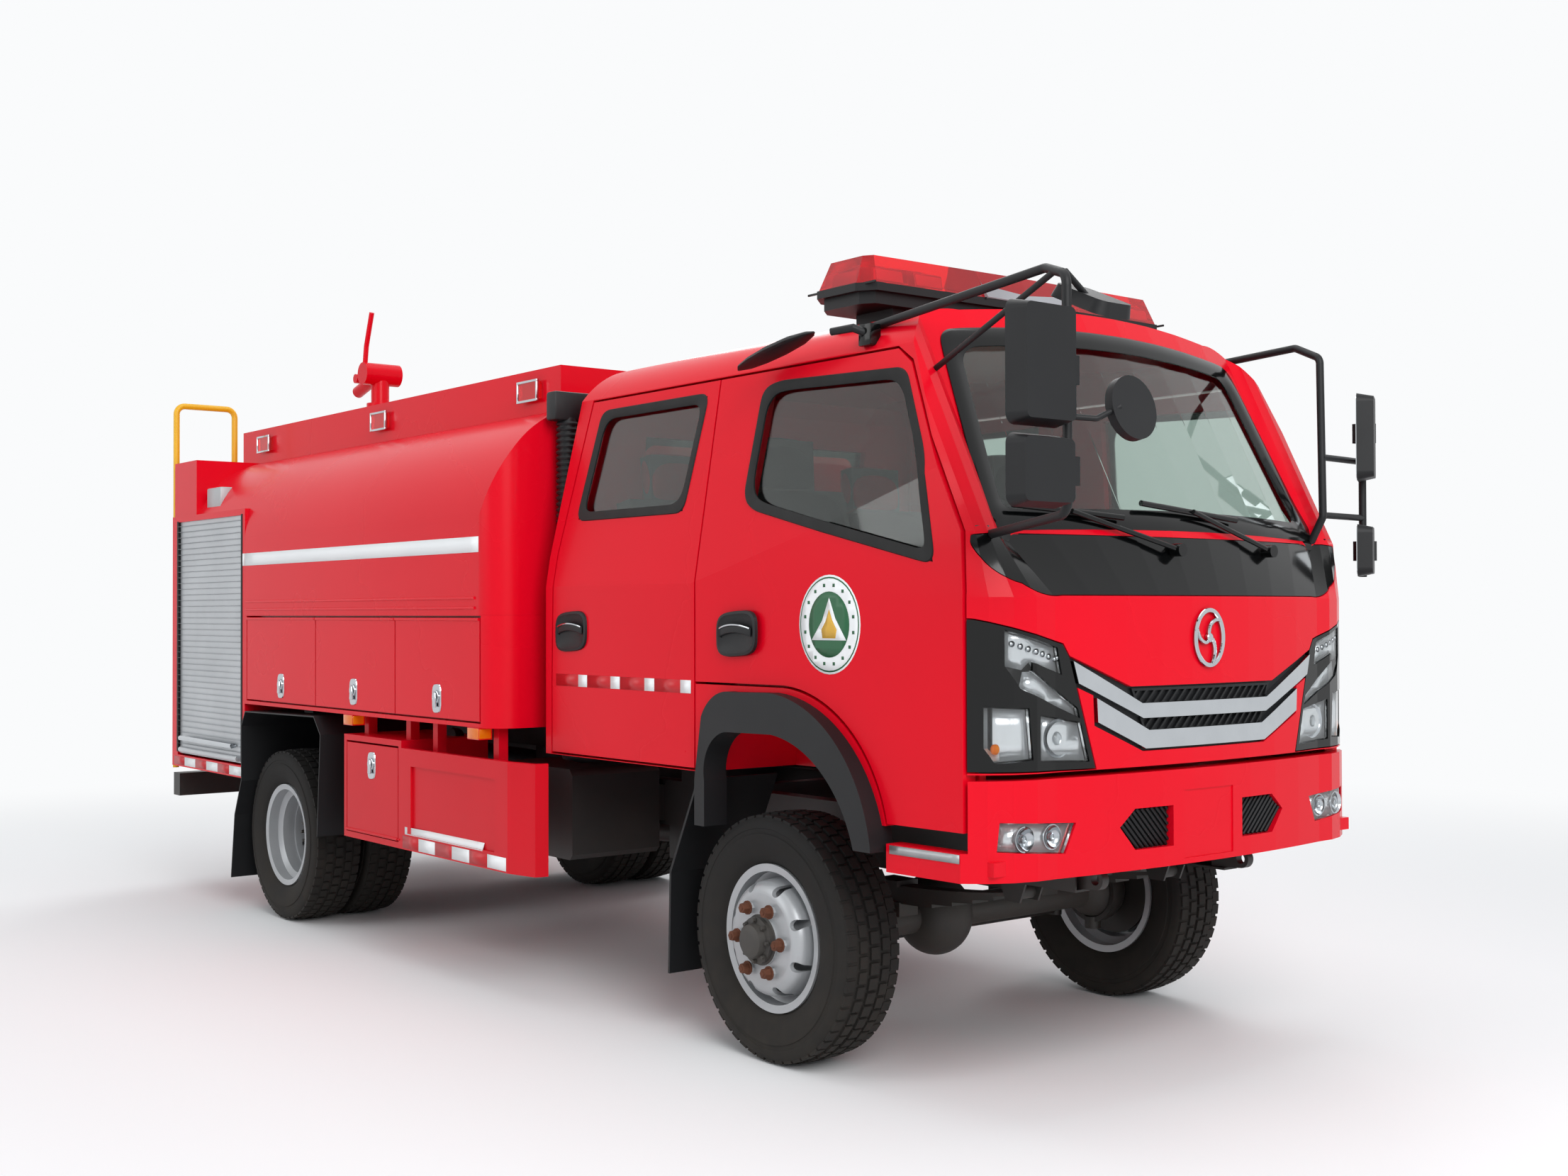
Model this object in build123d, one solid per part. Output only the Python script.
"""A crew-cab four-wheel-drive water tanker fire truck, in millimetres.

While the pieces are drawn, x runs forward from the front axle, y runs to the vehicle's left and z up from
the ground.  Each piece is moved forward by ORIGIN_SHIFT as it is written, so that the origin lies on the
ground under the middle of the whole vehicle.
"""
from build123d import *
from math import asin, cos, pi, radians, sin, sqrt
import os

# Wheels and axles
WHEELBASE = 3500
TYRE_RADIUS = 400
TYRE_WIDTH = 235
TREAD_WIDTH = 196
BEAD_RADIUS = 222.25
RIM_FLANGE_RADIUS = 237
RIM_HALF_WIDTH = 95
RIM_WELL_RADIUS = 196
RIM_WALL = 9
DISC_OFFSET = 131
DISC_THICKNESS = 12
HUB_BORE = 82
NUT_CIRCLE = 222.25
NUT_COUNT = 6
NUT_FLATS = 30
HAND_HOLES = 8
FRONT_TYRE_Y = 788
DUAL_MIDDLE_Y = 824
KINGPIN_Y = 650
KNUCKLE_BALL = 98
AXLE_TUBE = 55

# Chassis frame
RAIL_OUTER_Y = 390
RAIL_FLANGE = 65
RAIL_WEB = 7
RAIL_BOTTOM = 600
RAIL_TOP = 780
RAIL_FRONT = 850
RAIL_REAR = -4860
SPRING_WIDTH = 70
LEAF = 12

# Cab
CAB_REAR = -1290
CAB_FLOOR = 915
CAB_HALF = 945
CAB_TAPER_X = -350
CAB_SEAM_X = 890
CAB_SEAM_HALF = 895
FACE_X = 996
FACE_HALF = 630
NOSE_X = 1040
BELT_Z = 1670
FACE_TOP_Z = 1484
SCREEN_SEAM_X = 882
SCREEN_SEAM_HALF = 893
SCREEN_FACE_X = 888
SCREEN_FACE_HALF = 740
SCREEN_BASE_X = 978
SCREEN_TOP_X = 655
SCREEN_TOP_Z = 2310
ROOF_EDGE_Z = 2240
ROOF_EDGE_HALF = 830
ROOF_TOP = 2402
CAB_WALL = 50
CAB_FLOOR_WALL = 40
DOOR_GAP = 8
DOOR_BOTTOM = 925
DOOR_TOP = 2228
DOOR_SPLIT_X = -325
GLASS = 5
NOSE_BOTTOM = 985
SKIRT_END = 898

# Bumper
BUMPER_LOW = 683
BUMPER_TOP = 968
STEP_TOP = 766
BUMPER_WALL = 55
BUMPER_START = 904

# Tank body and lockers
BODY_FRONT = -1400
BODY_HALF = 1110
BODY_CORNER = 110
LOCKER_FLOOR = 1005
HINGE_LINE = 1434
SHOULDER_Z = 1790
DECK_Z = 2240
DECK_HALF = 752
DECK_WALL_TOP = 2420
DECK_SHEET = 12
CABINET_FRONT = -3858
CABINET_REAR = -4870
CABINET_FLOOR = 640
CABINET_TOP = 1955
LOCKER_DEPTH = 480
LOCKER_WALL = 25
LOCKER_DOOR_THICK = 40
LOCKER_GAP = 8

# Overall reach, used to put the origin under the middle
FRONT_REACH = 1368
REAR_REACH = -4998
ORIGIN_SHIFT = -(FRONT_REACH + REAR_REACH) / 2

SEAT_GAP = 0.3


# Helpers
def block(x, y, z):
    """A plain block between the low and high values of x, y and z."""
    place = Pos((x[0] + x[1]) / 2, (y[0] + y[1]) / 2, (z[0] + z[1]) / 2)
    return place * Box(abs(x[1] - x[0]), abs(y[1] - y[0]), abs(z[1] - z[0]))


def outline(start, *steps):
    """A closed flat face.  A step is a point for a line, or a middle and an end point for an arc."""
    edges = []
    here = start
    for step in steps:
        if isinstance(step[0], tuple):
            edges.append(ThreePointArc(here, step[0], step[1]))
            here = step[1]
        elif step != here:
            edges.append(Line(here, step))
            here = step
    if here != start:
        edges.append(Line(here, start))
    return make_face(edges)


def side(face, y):
    """A face drawn in x and z, carried from y[0] to y[1]."""
    plane = Plane(origin=(0, y[0], 0), x_dir=(1, 0, 0), z_dir=(0, -1, 0))
    return extrude(plane * face, amount=y[1] - y[0], dir=(0, 1, 0))


def front(face, x):
    """A face drawn in y and z, carried from x[0] to x[1]."""
    plane = Plane(origin=(x[0], 0, 0), x_dir=(0, 1, 0), z_dir=(1, 0, 0))
    return extrude(plane * face, amount=x[1] - x[0], dir=(1, 0, 0))


def top(face, z):
    """A face drawn in x and y, carried from z[0] to z[1]."""
    return extrude(Pos(0, 0, z[0]) * face, amount=z[1] - z[0], dir=(0, 0, 1))


def rod(a, b, radius):
    """A round bar from point a to point b."""
    run = Vector(*b) - Vector(*a)
    return extrude(Plane(origin=a, z_dir=run) * Circle(radius), amount=run.length)


def bent_bar(points, radius, bend):
    """A round bar along a route whose corners are rounded to the bend radius."""
    path = FilletPolyline(*points, radius=bend)
    return sweep(Plane(origin=path @ 0, z_dir=path % 0) * Circle(radius), path=path)


def mirrored(shape):
    """The shape's mirror image on the vehicle's other side."""
    return mirror(shape, about=Plane.XZ)


def fuse(shapes):
    """All the shapes as one."""
    whole = shapes[0]
    for shape in shapes[1:]:
        whole = whole + shape
    return whole


def put(shape, side_sign, x, y, z):
    """A wheel piece drawn with its outer face towards +y, put on the left (1) or the right (-1)."""
    turn = Rot(0, 0, 0 if side_sign > 0 else 180)
    return Pos(x, side_sign * y, z) * turn * shape


def save(name, shape):
    """Write one sub-part, moved so that the origin is under the middle of the vehicle."""
    moved = Pos(ORIGIN_SHIFT, 0, 0) * shape
    export_step(Compound(children=list(moved.solids())), "parts/" + name + ".step")


os.makedirs("parts", exist_ok=True)
SIDES = (("left", 1), ("right", -1))


# Tyres: a crowned tread, round shoulders and bulging side walls, seated on the rim
def tyre():
    half = TYRE_WIDTH / 2
    tread = TREAD_WIDTH / 2
    bead = RIM_HALF_WIDTH - 12
    seat = BEAD_RADIUS + SEAT_GAP
    wall_mid = (BEAD_RADIUS + TYRE_RADIUS) / 2 + 12
    face = outline(
        (seat, -bead), (seat, bead), (RIM_FLANGE_RADIUS + 4, bead),
        ((RIM_FLANGE_RADIUS + 22, bead + 22), (wall_mid, half)),
        ((TYRE_RADIUS - 34, half - 6), (TYRE_RADIUS - 8, tread)),
        ((TYRE_RADIUS, 0), (TYRE_RADIUS - 8, -tread)),
        ((TYRE_RADIUS - 34, -half + 6), (wall_mid, -half)),
        ((RIM_FLANGE_RADIUS + 22, -bead - 22), (RIM_FLANGE_RADIUS + 4, -bead)))
    return revolve(face, Axis.Y)


# Rim with drop well and flanges, and a dished disc with hand holes, from one revolved band
def steel_wheel():
    inner = RIM_WELL_RADIUS - RIM_WALL
    bead = RIM_HALF_WIDTH - 12
    seat = BEAD_RADIUS
    band = outline(
        (RIM_FLANGE_RADIUS, RIM_HALF_WIDTH), (RIM_FLANGE_RADIUS, bead + 1), (seat, bead),
        (seat, 45), (RIM_WELL_RADIUS, 30), (RIM_WELL_RADIUS, -30), (seat, -45), (seat, -bead),
        (RIM_FLANGE_RADIUS, -bead - 1), (RIM_FLANGE_RADIUS, -RIM_HALF_WIDTH),
        (seat - 10, -RIM_HALF_WIDTH + 4), (seat - 10, -45), (inner, -30), (inner, 30),
        (seat - 10, 45), (seat - 10, RIM_HALF_WIDTH - 4))
    face = DISC_OFFSET
    back = face - DISC_THICKNESS
    disc = outline(
        (HUB_BORE, face), (146, face), ((170, face - 10), (183, face - 34)), (inner + 3, 28),
        (inner - 9, 28), (171, face - 40), ((160, back - 8), (142, back)), (HUB_BORE, back))
    wheel = revolve(band, Axis.Y) + revolve(disc, Axis.Y)
    hole = Cylinder(17, 90, rotation=(90, 0, 0))
    for i in range(HAND_HOLES):
        turn = radians(360 / HAND_HOLES * (i + 0.5))
        wheel -= Pos(171 * cos(turn), face - 30, 171 * sin(turn)) * hole
    return wheel


def wheel_nuts(face_y, sign):
    """Six hexagon nuts on the disc's face at face_y, standing out along sign."""
    nuts = []
    for i in range(NUT_COUNT):
        turn = radians(360 / NUT_COUNT * i)
        plane = Plane(origin=(NUT_CIRCLE / 2 * cos(turn), face_y, NUT_CIRCLE / 2 * sin(turn)),
                      x_dir=(1, 0, 0), z_dir=(0, sign, 0))
        nuts.append(extrude(plane * RegularPolygon(NUT_FLATS / 2, 6, major_radius=False), amount=24))
    return nuts


BACKPLATE_Y = 756
DRUM_RADIUS = 165
STUB_RADIUS = 38
STUB_BORE = 38.3
STUB_END = 55
REAR_STUB_END = 30


def front_wheel():
    """Disc outwards, with the drum behind it and the drive hub through its bore."""
    face = DISC_OFFSET
    drum_back = BACKPLATE_Y + 14 - FRONT_TYRE_Y
    hub = revolve(outline(
        (STUB_BORE, drum_back + 10), (130, drum_back + 10), (130, drum_back), (DRUM_RADIUS, drum_back),
        (DRUM_RADIUS, 40), (120, 70), (120, face - DISC_THICKNESS), (HUB_BORE, face - DISC_THICKNESS),
        (HUB_BORE, face + 6), (72, face + 8), (72, face + 24), (54, face + 26), (50, face + 48),
        (40, face + 56), (0, face + 56), (0, STUB_END + 5), (STUB_BORE, STUB_END + 5)), Axis.Y)
    return fuse([steel_wheel(), hub] + wheel_nuts(face, 1))


def rear_wheels():
    """Two wheels with their discs back to back, drawn about the plane where the discs meet."""
    single = steel_wheel()
    outer = Pos(0, DISC_OFFSET, 0) * Rot(0, 0, 180) * single
    inner = Pos(0, -DISC_OFFSET, 0) * single
    hub = revolve(outline(
        (STUB_BORE, -205), (DRUM_RADIUS, -205), (DRUM_RADIUS, -90), (120, -60), (120, -DISC_THICKNESS),
        (HUB_BORE, -DISC_THICKNESS), (HUB_BORE, DISC_THICKNESS), (78, 20), (70, 92), (58, 104), (0, 104),
        (0, -REAR_STUB_END + 5), (STUB_BORE, -REAR_STUB_END + 5)), Axis.Y)
    return fuse([outer, inner, hub] + wheel_nuts(DISC_THICKNESS, 1))


for name, sign in SIDES:
    save("tyre_front_" + name, put(tyre(), sign, 0, FRONT_TYRE_Y, TYRE_RADIUS))
    save("wheel_front_" + name, put(front_wheel(), sign, 0, FRONT_TYRE_Y, TYRE_RADIUS))
    pair = Pos(0, DISC_OFFSET, 0) * tyre() + Pos(0, -DISC_OFFSET, 0) * tyre()
    save("tyres_rear_" + name, put(pair, sign, -WHEELBASE, DUAL_MIDDLE_Y, TYRE_RADIUS))
    save("wheels_rear_" + name, put(rear_wheels(), sign, -WHEELBASE, DUAL_MIDDLE_Y, TYRE_RADIUS))


# Steering knuckles: a cap round the axle's ball, kingpin bosses, a back plate and a steering arm
ARM_REACH = 170
ARM_Z = 328
TIE_ROD_RADIUS = 16
KNUCKLE_WALL = 18


def knuckle():
    """Drawn for the left side, about the kingpin's axis at the wheel's height."""
    shell = Sphere(KNUCKLE_BALL + 3 + KNUCKLE_WALL) - Sphere(KNUCKLE_BALL + 3)
    shell = shell & block((-200, 200), (-18, 200), (-200, 200))
    spindle = rod((0, KNUCKLE_BALL + SEAT_GAP, 0), (0, BACKPLATE_Y + 10 - KINGPIN_Y, 0), 60)
    stub = rod((0, BACKPLATE_Y - KINGPIN_Y, 0), (0, FRONT_TYRE_Y + STUB_END - KINGPIN_Y, 0), STUB_RADIUS)
    plate = rod((0, BACKPLATE_Y - KINGPIN_Y, 0), (0, BACKPLATE_Y + 10 - KINGPIN_Y, 0), DRUM_RADIUS + 6)
    upper = rod((0, 0, KNUCKLE_BALL + SEAT_GAP), (0, 0, KNUCKLE_BALL + 44), 30)
    lower = rod((0, 0, -KNUCKLE_BALL - 44), (0, 0, -KNUCKLE_BALL - SEAT_GAP), 30)
    arm_z = ARM_Z - TYRE_RADIUS
    arm = top(outline((-ARM_REACH, -34), (-ARM_REACH, 14), (-60, 70), (-60, 20), (-ARM_REACH + 20, -34)),
              (arm_z, arm_z + 20))
    eye = rod((-ARM_REACH, -20, arm_z), (-ARM_REACH, -20, arm_z + 26), 24)
    arm = arm - Sphere(KNUCKLE_BALL + 3)
    return fuse([shell, spindle, stub, plate, upper, lower, arm, eye])


for name, sign in SIDES:
    part = Pos(0, KINGPIN_Y, TYRE_RADIUS) * knuckle()
    save("knuckle_" + name, part if sign > 0 else mirrored(part))

tie_y = KINGPIN_Y - 20
tie_z = ARM_Z - SEAT_GAP - TIE_ROD_RADIUS - 4
tie = rod((-ARM_REACH, -tie_y, tie_z), (-ARM_REACH, tie_y, tie_z), TIE_ROD_RADIUS)
for sign in (1, -1):
    tie += rod((-ARM_REACH, sign * tie_y, tie_z - 20), (-ARM_REACH, sign * tie_y, ARM_Z - SEAT_GAP), 24)
save("tie_rod", tie)


# Leaf springs: concentric arcs, the longest leaf on top, with an eye at each end
def leaf_pack(x, y, length, count, top_z, sag):
    """A pack centred at x and y; top_z is the main leaf's top in the middle, sag the rise of its ends."""
    half = length / 2
    radius = (half * half + sag * sag) / (2 * sag)
    centre_z = top_z + radius
    leaves = []
    for i in range(count):
        reach = half * (1 - 0.8 * i / count)
        inner = radius + i * LEAF
        outer = inner + LEAF
        angle = asin(reach / radius)

        def point(r, a):
            return (x + r * sin(a), centre_z - r * cos(a))
        face = outline(point(inner, -angle), (point(inner, 0), point(inner, angle)), point(outer, angle),
                       (point(outer, 0), point(outer, -angle)))
        leaves.append(side(face, (y - SPRING_WIDTH / 2, y + SPRING_WIDTH / 2)))
    for end in (-1, 1):
        ex = x + end * half
        ez = top_z + sag
        leaves.append(rod((ex, y - EYE_HALF, ez), (ex, y + EYE_HALF, ez), 24))
    return fuse(leaves)


FRONT_SPRING_Y = 345
REAR_SPRING_Y = 440
FRONT_SPRING = dict(length=1180, count=5, top_z=524, sag=44)
REAR_SPRING = dict(length=1320, count=8, top_z=558, sag=24)
EYE_HALF = SPRING_WIDTH / 2 + 2 - SEAT_GAP


def lens_body(radius, half):
    """A round housing that bulges to radius in its middle and closes half to each side along y."""
    return revolve(outline((0, -half), ((radius, 0), (0, half))), Axis.Y)


# Front axle: tube, ball ends, offset differential, spring seats
DIFF_Y = -165
front_axle = rod((0, -KINGPIN_Y, TYRE_RADIUS), (0, KINGPIN_Y, TYRE_RADIUS), AXLE_TUBE)
for sign in (1, -1):
    front_axle += Pos(0, sign * KINGPIN_Y, TYRE_RADIUS) * Sphere(KNUCKLE_BALL)
differential = Pos(0, DIFF_Y, TYRE_RADIUS) * lens_body(140, 112)
nose = rod((-200, DIFF_Y, TYRE_RADIUS), (0, DIFF_Y, TYRE_RADIUS), 62)
front_axle = fuse([front_axle, differential, nose])
seat_low = FRONT_SPRING["top_z"] - LEAF * FRONT_SPRING["count"]
for sign in (1, -1):
    y = sign * FRONT_SPRING_Y
    front_axle += block((-65, 65), (y - 42, y + 42), (TYRE_RADIUS + 20, seat_low + 5))
    front_axle += leaf_pack(0, y, **FRONT_SPRING)
    front_axle += block((-60, 60), (y - 48, y + 48), (FRONT_SPRING["top_z"] - 4, FRONT_SPRING["top_z"] + 16))
save("front_axle", front_axle)

# Rear axle: tube, banjo differential, back plates, spring seats
REAR_TUBE = 66
REAR_PLATE_Y = 590
rear_axle = rod((-WHEELBASE, -REAR_PLATE_Y, TYRE_RADIUS), (-WHEELBASE, REAR_PLATE_Y, TYRE_RADIUS), REAR_TUBE)
banjo = Pos(-WHEELBASE, 0, TYRE_RADIUS) * lens_body(180, 135)
pinion = rod((-WHEELBASE, 0, TYRE_RADIUS), (-WHEELBASE + 260, 0, TYRE_RADIUS + 10), 75)
rear_axle = fuse([rear_axle, banjo, pinion])
seat_low = REAR_SPRING["top_z"] - LEAF * REAR_SPRING["count"]
for sign in (1, -1):
    y = sign * REAR_SPRING_Y
    rear_axle += rod((-WHEELBASE, sign * (REAR_PLATE_Y - 8), TYRE_RADIUS),
                     (-WHEELBASE, sign * (REAR_PLATE_Y + 6), TYRE_RADIUS), DRUM_RADIUS)
    rear_axle += rod((-WHEELBASE, sign * REAR_PLATE_Y, TYRE_RADIUS),
                     (-WHEELBASE, sign * (DUAL_MIDDLE_Y - REAR_STUB_END), TYRE_RADIUS), STUB_RADIUS)
    rear_axle += block((-WHEELBASE - 75, -WHEELBASE + 75), (y - 42, y + 42), (TYRE_RADIUS + 20, seat_low + 5))
    rear_axle += leaf_pack(-WHEELBASE, y, **REAR_SPRING)
    rear_axle += block((-WHEELBASE - 70, -WHEELBASE + 70), (y - 46, y + 46),
                       (REAR_SPRING["top_z"] - 4, REAR_SPRING["top_z"] + 16))
save("rear_axle", rear_axle)

# Chassis frame: two channels, cross members, spring hangers, body bearers, tow eyes and steps
frame = []
for sign in (1, -1):
    web = sign * RAIL_OUTER_Y
    inner = sign * (RAIL_OUTER_Y - RAIL_FLANGE)
    rail = block((RAIL_REAR, RAIL_FRONT), sorted((inner, web)), (RAIL_BOTTOM, RAIL_TOP))
    hollow = block((RAIL_REAR - 1, RAIL_FRONT + 1), sorted((inner - sign, web - sign * RAIL_WEB)),
                   (RAIL_BOTTOM + RAIL_WEB, RAIL_TOP - RAIL_WEB))
    frame.append(rail - hollow)
CROSS_MEMBERS = (800, -1050, -1620, -2450, -3080, -3940, -4800)
for x in CROSS_MEMBERS:
    reach = RAIL_OUTER_Y - RAIL_WEB + 1
    frame.append(block((x - 30, x + 30), (-reach, reach), (RAIL_BOTTOM + 75, RAIL_BOTTOM + 165)))
BODY_BEARERS = (
    # x, reach to each side
    (-1500, 420), (-2230, 420), (-3000, 420), (-3800, 420), (-4300, 1040), (-4780, 1040),
)
BEARER_TOP = RAIL_TOP + 78
for x, reach in BODY_BEARERS:
    frame.append(block((x - 30, x + 30), (-reach, reach), (RAIL_TOP - 2, BEARER_TOP)))
CAB_MOUNTS = (700, -1150)
for sign in (1, -1):
    web = sorted((sign * (RAIL_OUTER_Y - RAIL_FLANGE), sign * RAIL_OUTER_Y))
    frame.append(block((-3850, -1450), web, (BEARER_TOP - 1, LOCKER_FLOOR - SEAT_GAP)))
    for x in CAB_MOUNTS:
        frame.append(block((x - 45, x + 45), web, (RAIL_TOP - 1, CAB_FLOOR - SEAT_GAP)))
    frame.append(block((RAIL_FRONT - 10, CAB_SEAM_X - 20 - SEAT_GAP), web, (690, 760)))
for x_axle, y_spring, pack in ((0, FRONT_SPRING_Y, FRONT_SPRING), (-WHEELBASE, REAR_SPRING_Y, REAR_SPRING)):
    eye_z = pack["top_z"] + pack["sag"]
    for sign in (1, -1):
        for end in (-1, 1):
            x = x_axle + end * pack["length"] / 2
            for face_y in (y_spring - SPRING_WIDTH / 2 - 6, y_spring + SPRING_WIDTH / 2 + 6):
                y = sign * face_y
                cheek = side(outline((x - 60, RAIL_BOTTOM + 12), (x + 60, RAIL_BOTTOM + 12), (x + 30, eye_z - 28),
                                     (x - 30, eye_z - 28)), (y - 4, y + 4))
                frame.append(cheek)
            reach = (y_spring - SPRING_WIDTH / 2 - 10, y_spring + SPRING_WIDTH / 2 + 10)
            low = (sign * reach[0], sign * reach[1])
            frame.append(block((x - 60, x + 60), (min(low), max(low)), (RAIL_BOTTOM + 10, RAIL_BOTTOM + 26)))
            frame.append(block((x - 60, x + 60), sorted((sign * 380, sign * (y_spring + 45))),
                               (RAIL_BOTTOM + 10, RAIL_BOTTOM + 60)))
TOW_EYE_X = 905
TOW_EYE_Z = 642
for sign in (1, -1):
    y = sign * (RAIL_OUTER_Y - 40)
    hook = side(outline((RAIL_FRONT - 60, 604), (TOW_EYE_X, 612), ((TOW_EYE_X + 30, 642), (TOW_EYE_X, 672)),
                        (RAIL_FRONT - 60, 672)), (y - 14, y + 14))
    frame.append(hook - rod((TOW_EYE_X, y - 20, TOW_EYE_Z), (TOW_EYE_X, y + 20, TOW_EYE_Z), 16))
# Rear underrun bumper on the rails' ends
frame.append(block((-4990, -4900), (-1060, 1060), (470, 590)))
for sign in (1, -1):
    frame.append(block((-4905, RAIL_REAR + 20), sorted((sign * 330, sign * 430)), (500, 760)))
save("chassis_frame", fuse(frame))

# Engine, one block at its real size, and the driveline behind it
ENGINE_X = (-300, 440)
save("engine", block(ENGINE_X, (-250, 250), (545, 1120)))
TRANSFER_X = (-1480, -1240)
gearbox = side(outline((ENGINE_X[0] - SEAT_GAP, 520), (ENGINE_X[0] - SEAT_GAP, 820), (-520, 760), (-950, 700),
                       (-950, 540), (-520, 520)), (-120, 120))
transfer = side(outline((TRANSFER_X[0], 440), (TRANSFER_X[1], 440), (TRANSFER_X[1], 700), (-1300, 740),
                        (TRANSFER_X[0], 740)), (-250, 130))
shafts = [
    rod((-960, 0, 620), (-1250, 0, 620), 40),
    rod((-1480, 0, 510), (-WHEELBASE + 261, 0, TYRE_RADIUS + 12), 42),
    rod((-1240, DIFF_Y, 480), (-203, DIFF_Y, TYRE_RADIUS + 2), 30),
]
joint_ring = rod((-940, 0, 620), (-965, 0, 620), 65)
save("driveline", fuse([gearbox, transfer, joint_ring] + shafts))


# The cab's bowed faces are cut into flats, so that every raked face is a plane
BOW_FLATS = 9
CORNER_FLATS = 4


def flats(start, middle, end, count):
    """Points along the arc from start through middle to end, without start itself."""
    arc = ThreePointArc(start, middle, end)
    return [((arc @ (i / count)).X, (arc @ (i / count)).Y) for i in range(1, count)] + [end]


# Cab outside, drawn in by an inset for its inner faces
def cab_plan(inset, seam_x, seam_half, face_x, face_half, nose_x):
    """The cab seen from above: straight sides that taper forward and a bowed front."""
    half = CAB_HALF - inset
    s_half = seam_half - inset
    rear = CAB_REAR + inset
    face = face_x - inset
    nose = nose_x - inset
    bulge_x = (seam_x + face) / 2 + 26
    bulge_y = (s_half + face_half) / 2 + 26
    right = flats((seam_x, -s_half), (bulge_x, -bulge_y), (face, -face_half), CORNER_FLATS)
    bow = flats((face, -face_half), (nose, 0), (face, face_half), BOW_FLATS)
    left = flats((face, face_half), (bulge_x, bulge_y), (seam_x, s_half), CORNER_FLATS)
    return outline((rear, -half), (CAB_TAPER_X, -half), (seam_x, -s_half), *right, *bow, *left,
                   (CAB_TAPER_X, half), (rear, half))


def cab_section(inset):
    """The cab seen from the front: upright sides, leaning window band and crowned roof."""
    half = CAB_HALF - inset
    edge = ROOF_EDGE_HALF - inset
    roof = ROOF_TOP - inset
    eave = ROOF_EDGE_Z + 96 - inset * 0.6
    return outline(
        (-half, 700), (-half, 1540), (-edge, ROOF_EDGE_Z), ((-edge + 92, eave), (-590, 2368 - inset)),
        ((0, roof), (590, 2368 - inset)), ((edge - 92, eave), (edge, ROOF_EDGE_Z)), (half, 1540), (half, 700))


def cab_form(inset, floor=0):
    """A solid of the cab's outside, drawn in by inset; floor is how far its underside is raised."""
    plan = cab_plan(inset, CAB_SEAM_X - inset / 2, CAB_SEAM_HALF, FACE_X, FACE_HALF, NOSE_X)
    base = cab_plan(inset, SCREEN_SEAM_X - inset / 2, SCREEN_SEAM_HALF, SCREEN_FACE_X, SCREEN_FACE_HALF,
                    SCREEN_BASE_X)
    lower = top(plan, (CAB_FLOOR - 120, FACE_TOP_Z))
    brow = loft([Pos(0, 0, FACE_TOP_Z) * plan, Pos(0, 0, BELT_Z) * base], ruled=True)
    rake = Vector(SCREEN_TOP_X - SCREEN_BASE_X, 0, SCREEN_TOP_Z - BELT_Z)
    upper = extrude(Pos(0, 0, BELT_Z) * base, amount=rake.length * 1.4, dir=rake.normalized())
    low = CAB_FLOOR + floor
    skirt = low if floor else low - 100
    chin = low if floor else NOSE_BOTTOM
    profile = outline(
        (CAB_REAR + inset, low), (520, low), (560, skirt), (SKIRT_END, skirt), (SKIRT_END, chin),
        (NOSE_X + 10, NOSE_BOTTOM + inset), (NOSE_X + 10, 2500), (-520, 2500), (-520, 2446 - inset),
        (-1165 + inset, 2350 - inset), (-1215 + inset, ROOF_EDGE_Z), (CAB_REAR + inset, 1650))
    form = (lower + brow + upper) & side(profile, (-1000, 1000))
    return form & front(cab_section(inset), (-1500, 1200))


def side_core(inset):
    """The room between the cab's side walls, drawn in by inset and run out forward past the nose."""
    half = CAB_HALF - inset
    tip = half - (CAB_HALF - CAB_SEAM_HALF) / (CAB_SEAM_X - CAB_TAPER_X) * (1400 - CAB_TAPER_X)
    plan = outline((-1500, -half), (CAB_TAPER_X, -half), (1400, -tip), (1400, tip), (CAB_TAPER_X, half), (-1500, half))
    return top(plan, (700, 2500)) & front(cab_section(inset), (-1500, 1400))


cab_outer = cab_form(0)
cab_inner = cab_form(CAB_WALL, floor=CAB_FLOOR_WALL)
cab_wall = cab_outer - cab_inner
cab_wall -= block((500, 960), (-CAB_SEAM_HALF + CAB_WALL, CAB_SEAM_HALF - CAB_WALL), (780, CAB_FLOOR))

FRONT_DOOR = dict(front_x=CAB_SEAM_X, rear_x=DOOR_SPLIT_X)
REAR_DOOR_REAR_X = -1243


def front_door_outline(grow):
    """The front door from the side; grow is how far the opening stands off the door all round."""
    g = grow
    return outline(
        (CAB_SEAM_X + g, 822 - g), (CAB_SEAM_X + g, 1500), (SCREEN_SEAM_X + g, BELT_Z), (625 + g, 2180 + g),
        (560, DOOR_TOP + g), (DOOR_SPLIT_X - g, DOOR_TOP + g), (DOOR_SPLIT_X - g, 1213 - g), (120, 1213 - g),
        ((437 - g, 1082 - g), (586 - g, 822 - g)))


def rear_door_outline(grow):
    g = grow
    front_x = DOOR_SPLIT_X - DOOR_GAP
    return outline(
        (front_x + g, DOOR_BOTTOM - g), (front_x + g, DOOR_TOP + g), (-1128 - g, DOOR_TOP + g),
        (-1232 - g, 1660), (REAR_DOOR_REAR_X - g, 1200), (REAR_DOOR_REAR_X - g, DOOR_BOTTOM - g))


WINDOWS = {
    "front": outline((775, 1585), (720, 1900), (600, 2158), (0, 2180), (-75, 2165), (-105, 1815), (-60, 1780)),
    "rear": outline((-455, 1788), (-395, 2180), (-1050, 2180), (-1125, 1788)),
}
WINDOW_SEAL = 4


def grown(face, amount):
    """The face with its outline moved outwards."""
    return offset(face, amount=amount, kind=Kind.INTERSECTION)


door_shapes = {}
for which, shape in (("front", front_door_outline), ("rear", rear_door_outline)):
    band = side(shape(0), (700, 1000))
    door = ((cab_outer & band) - side_core(CAB_WALL)) - side(WINDOWS[which], (600, 1000))
    door_shapes[which] = door

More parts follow.
